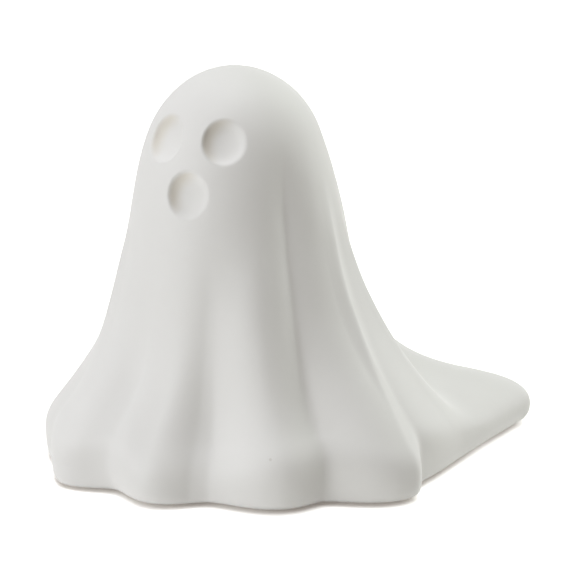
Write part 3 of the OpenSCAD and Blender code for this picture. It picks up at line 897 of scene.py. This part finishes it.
class GHOST_OT_stopper(bpy.types.Operator):
    """Make the soft stopper of the pour hole"""
    bl_idname = "ghost.stopper"
    bl_label = "Stopper"
    bl_options = {"REGISTER", "UNDO"}

    def execute(self, context):
        base = context.scene.ghost_base
        top = base.stand + base.recess
        low = top - base.rim_thickness
        plug = base.pour_bore / 2 - base.stopper_gap
        wide = base.rim_width / 2
        dimple = base.dimple_width / 2
        crest = top + base.plug_length
        bore = plug - base.plug_wall
        inside = top + base.plug_wall
        # From the dimple's middle out under the rim, up the plug's two ribs and down its bore:
        # a reach and a height, each with what is added to it in millimetres
        outline = [(out + more * MM, level + up * MM) for out, more, level, up in (
            (0, 0, low, 2.1), (dimple * 0.45, 0, low, 1.95), (dimple * 0.75, 0, low, 1.35),
            (dimple * 0.92, 0, low, 0.55), (dimple * 1.04, 0, low, 0.12),
            (dimple * 1.2, 0, low, 0), (wide, -2.4, low, 0), (wide, -2.1, low, 0.16),
            (wide, -1.8, low, 0.16), (wide, -1.5, low, 0), (wide, -0.75, low, 0.03),
            (wide, -0.3, low, 0.2), (wide, -0.05, low, 0.55), (wide, 0, low, 0.9),
            (wide, -0.08, top, -0.08), (wide, -0.3, top, 0), (plug, 0.6, top, 0),
            (plug, -0.1, top, 0.15), (plug, -0.3, top, 0.8), (plug, -0.3, top, 1.5),
            (plug, 0, top, 2.2), (plug, 0, top, 2.7), (plug, -0.35, top, 3.4),
            (plug, -0.35, top, 4.2), (plug, 0, top, 4.9), (plug, 0, top, 5.4),
            (plug, -0.45, top, 6.2), (plug, -0.8, crest, -0.4), (plug, -1.3, crest, 0),
            (bore, 0.25, crest, 0), (bore, 0, crest, -0.3), (bore, -0.1, inside, 0.8),
            (bore, -0.8, inside, 0), (0, 0, inside, 0))]
        deselect_all()
        bpy.ops.mesh.primitive_circle_add(vertices=3, radius=wide,
                                          location=(AXIS.x, AXIS.y, 0))
        piece = context.object
        bpy.ops.object.mode_set(mode="EDIT")
        bpy.ops.mesh.select_all(action="SELECT")
        bpy.ops.mesh.delete(type="VERT")
        bm = bmesh.from_edit_mesh(piece.data)
        line = [bm.verts.new((r, 0, z)) for r, z in outline]
        for first, second in zip(line, line[1:]):
            bm.edges.new((first, second))
        bmesh.update_edit_mesh(piece.data)
        bpy.ops.mesh.select_all(action="SELECT")
        bpy.ops.mesh.spin(steps=96, angle=2 * math.pi, center=(AXIS.x, AXIS.y, 0),
                          axis=(0, 0, 1))
        bpy.ops.mesh.select_all(action="SELECT")
        bpy.ops.mesh.remove_doubles(threshold=MERGE)
        bpy.ops.mesh.normals_make_consistent(inside=False)
        bpy.ops.object.mode_set(mode="OBJECT")
        name_piece("pour_hole_stopper", rubber_finish(context.scene.ghost_finish),
                   "plug")
        piece.modifiers.new("soft edges", "SUBSURF").levels = 1
        bpy.ops.object.modifier_apply(modifier="soft edges")
        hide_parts("stopper")
        return {"FINISHED"}


class GHOST_OT_felt_pads(bpy.types.Operator):
    """Make the felt pads that the foot stands on"""
    bl_idname = "ghost.felt_pads"
    bl_label = "Felt pads"
    bl_options = {"REGISTER", "UNDO"}

    def execute(self, context):
        base = context.scene.ghost_base
        finish = felt_finish(context.scene.ghost_finish)
        nodes = sorted(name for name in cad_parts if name.startswith("pad_"))
        for number, node in enumerate(nodes):
            low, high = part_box(node)
            middle = (low + high) / 2
            deselect_all()
            bpy.ops.mesh.primitive_cylinder_add(vertices=72, radius=(high.x - low.x) / 2,
                                                depth=high.z - low.z, location=middle,
                                                end_fill_type="NGON")
            piece = context.object
            bpy.ops.object.mode_set(mode="EDIT")
            self.pick(piece, "faces", lambda face: abs(face.normal.z) > 0.9)
            for step in FELT_INSETS:
                bpy.ops.mesh.inset(thickness=step * MM, use_individual=True)
            self.pick(piece, "edges", lambda edge: (
                abs(edge.verts[0].co.z - edge.verts[1].co.z) > 1 * MM))
            bpy.ops.mesh.subdivide(number_cuts=6)
            bpy.ops.object.mode_set(mode="OBJECT")
            self.mat_down(piece, middle, low, high, base, number)
            name_piece("felt_" + node, finish, "figure")
            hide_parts(node)
        return {"FINISHED"}

    def pick(self, piece, kind, wanted):
        """Selects only those faces or edges of a piece in edit mode that are wanted."""
        bpy.ops.mesh.select_all(action="DESELECT")
        bm = bmesh.from_edit_mesh(piece.data)
        bm.normal_update()
        for part in getattr(bm, kind):
            part.select = wanted(part)
        bmesh.update_edit_mesh(piece.data)

    def mat_down(self, piece, middle, low, high, base, number):
        """Rounds the worn lower edge and roughens the pad as matted wool."""
        wide = (high.x - low.x) / 2
        seed = Vector((number * FELT_SEED_STEP, 0, 0))
        for v in piece.data.vertices:
            p = v.co + middle
            away = Vector((p.x - middle.x, p.y - middle.y, 0))
            out = away.length
            lump = (noise.noise(p * COARSE_LUMPS + seed) * COARSE_SHARE
                    + noise.noise(p * FINE_LUMPS + seed) * FINE_SHARE)
            if out > wide * SIDE_FROM:
                lift = (p.z - low.z) / base.pad_round
                if lift < 1:
                    out -= base.pad_round * (1 - math.sqrt(max(0, 1 - (1 - lift) ** 2)))
                out -= abs(lump) * SIDE_PULL
                away = away.normalized() * out
            z = p.z
            if p.z < low.z + UNDER_LAYER:
                z = low.z + max(0, lump) * UNDER_LIFT
                if out > wide - CURL_WIDTH:
                    z += CURL_HEIGHT * ((out - wide + CURL_WIDTH) / CURL_WIDTH) ** 2
            v.co = Vector((middle.x + away.x, middle.y + away.y, z)) - middle


class GHOST_OT_stage(bpy.types.Operator):
    """Set the camera, the soft lights and the pale sweep"""
    bl_idname = "ghost.stage"
    bl_label = "Photo stage"
    bl_options = {"REGISTER", "UNDO"}

    def execute(self, context):
        stage = context.scene.ghost_stage
        azimuth = stage.azimuth
        right = Vector((math.cos(azimuth), math.sin(azimuth), 0))
        back = Vector(direction(azimuth, stage.elevation))
        aim = Vector((AXIS.x, AXIS.y, stage.aim_height)) + right * stage.aim_right
        deselect_all()
        bpy.ops.object.camera_add(location=aim + back * stage.distance,
                                  rotation=back.to_track_quat("Z", "Y").to_euler())
        camera = context.object
        camera.name = "photo_camera"
        camera.data.lens = stage.lens
        camera.data.sensor_width = 36
        camera.data.clip_start = 0.01
        camera.data.clip_end = 20
        context.scene.camera = camera

        # Degrees beside the camera and above level, then size in metres, power and colour
        for name, beside, above, size, power, tint in (
                ("key_light", -50, 12, 0.6, stage.key, (0.96, 0.98, 1.0)),
                ("side_light", -80, 12, 0.6, stage.side, (0.92, 0.95, 1.0)),
                ("low_back_light", 110, 12, 0.6, stage.low_back, (0.97, 0.98, 1.0)),
                ("high_back_light", 115, 45, 0.6, stage.high_back, (0.9, 1.0, 0.88)),
                ("top_light", 0, 90, 0.7, stage.top, (0.95, 0.97, 1.0))):
            away = Vector(direction(azimuth + math.radians(beside), math.radians(above)))
            place = Vector((AXIS.x, AXIS.y, LAMP_AIM)) + away * stage.reach
            turned = away.to_track_quat("Z", "Y").to_euler()
            bpy.ops.object.light_add(type="AREA", location=place, rotation=turned)
            lamp = context.object
            lamp.name = name
            lamp.data.shape = "DISK"
            lamp.data.size = size
            lamp.data.energy = power
            lamp.data.color = tint

        deselect_all()
        bpy.ops.mesh.primitive_plane_add(size=FLOOR_SIZE, location=(0, 0, 0))
        floor = context.object
        floor.name = "sweep"
        floor.data.materials.append(sweep_finish())

        context.scene.world = surroundings(stage.ambient)
        context.scene.view_settings.view_transform = "Standard"
        return {"FINISHED"}


class GHOST_PT_sidebar(bpy.types.Panel):
    """Lists the pieces and their sizes"""
    bl_idname = "GHOST_PT_sidebar"
    bl_label = "Ceramic ghost"
    bl_space_type = "VIEW_3D"
    bl_region_type = "UI"
    bl_category = "Ghost"

    def draw(self, context):
        scene = context.scene
        for title, group, operator in (
                ("Draped body", scene.ghost_body, "ghost.draped_body"),
                ("Face", scene.ghost_face, None),
                ("Stopper", scene.ghost_base, "ghost.stopper"),
                ("Felt pads", None, "ghost.felt_pads"),
                ("Finishes", scene.ghost_finish, None),
                ("Photo stage", scene.ghost_stage, "ghost.stage")):
            box = self.layout.box()
            box.label(text=title)
            if operator:
                box.operator(operator)
            if group:
                for key in group.__annotations__:
                    box.prop(group, key)


GROUPS = {"ghost_body": GhostBodySizes, "ghost_face": GhostFaceSizes,
          "ghost_base": GhostBaseSizes, "ghost_finish": GhostFinish, "ghost_stage": GhostStage}
CLASSES = (*GROUPS.values(), GHOST_OT_draped_body, GHOST_OT_stopper, GHOST_OT_felt_pads,
           GHOST_OT_stage, GHOST_PT_sidebar)


def register():
    for each in CLASSES:
        bpy.utils.register_class(each)
    for name, group in GROUPS.items():
        setattr(bpy.types.Scene, name, PointerProperty(type=group))


def unregister():
    for name in GROUPS:
        delattr(bpy.types.Scene, name)
    for each in reversed(CLASSES):
        bpy.utils.unregister_class(each)


def main():
    register()
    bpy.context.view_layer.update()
    bpy.ops.ghost.stage()
    bpy.ops.ghost.draped_body()
    bpy.ops.ghost.stopper()
    bpy.ops.ghost.felt_pads()


if __name__ == "__main__":
    main()
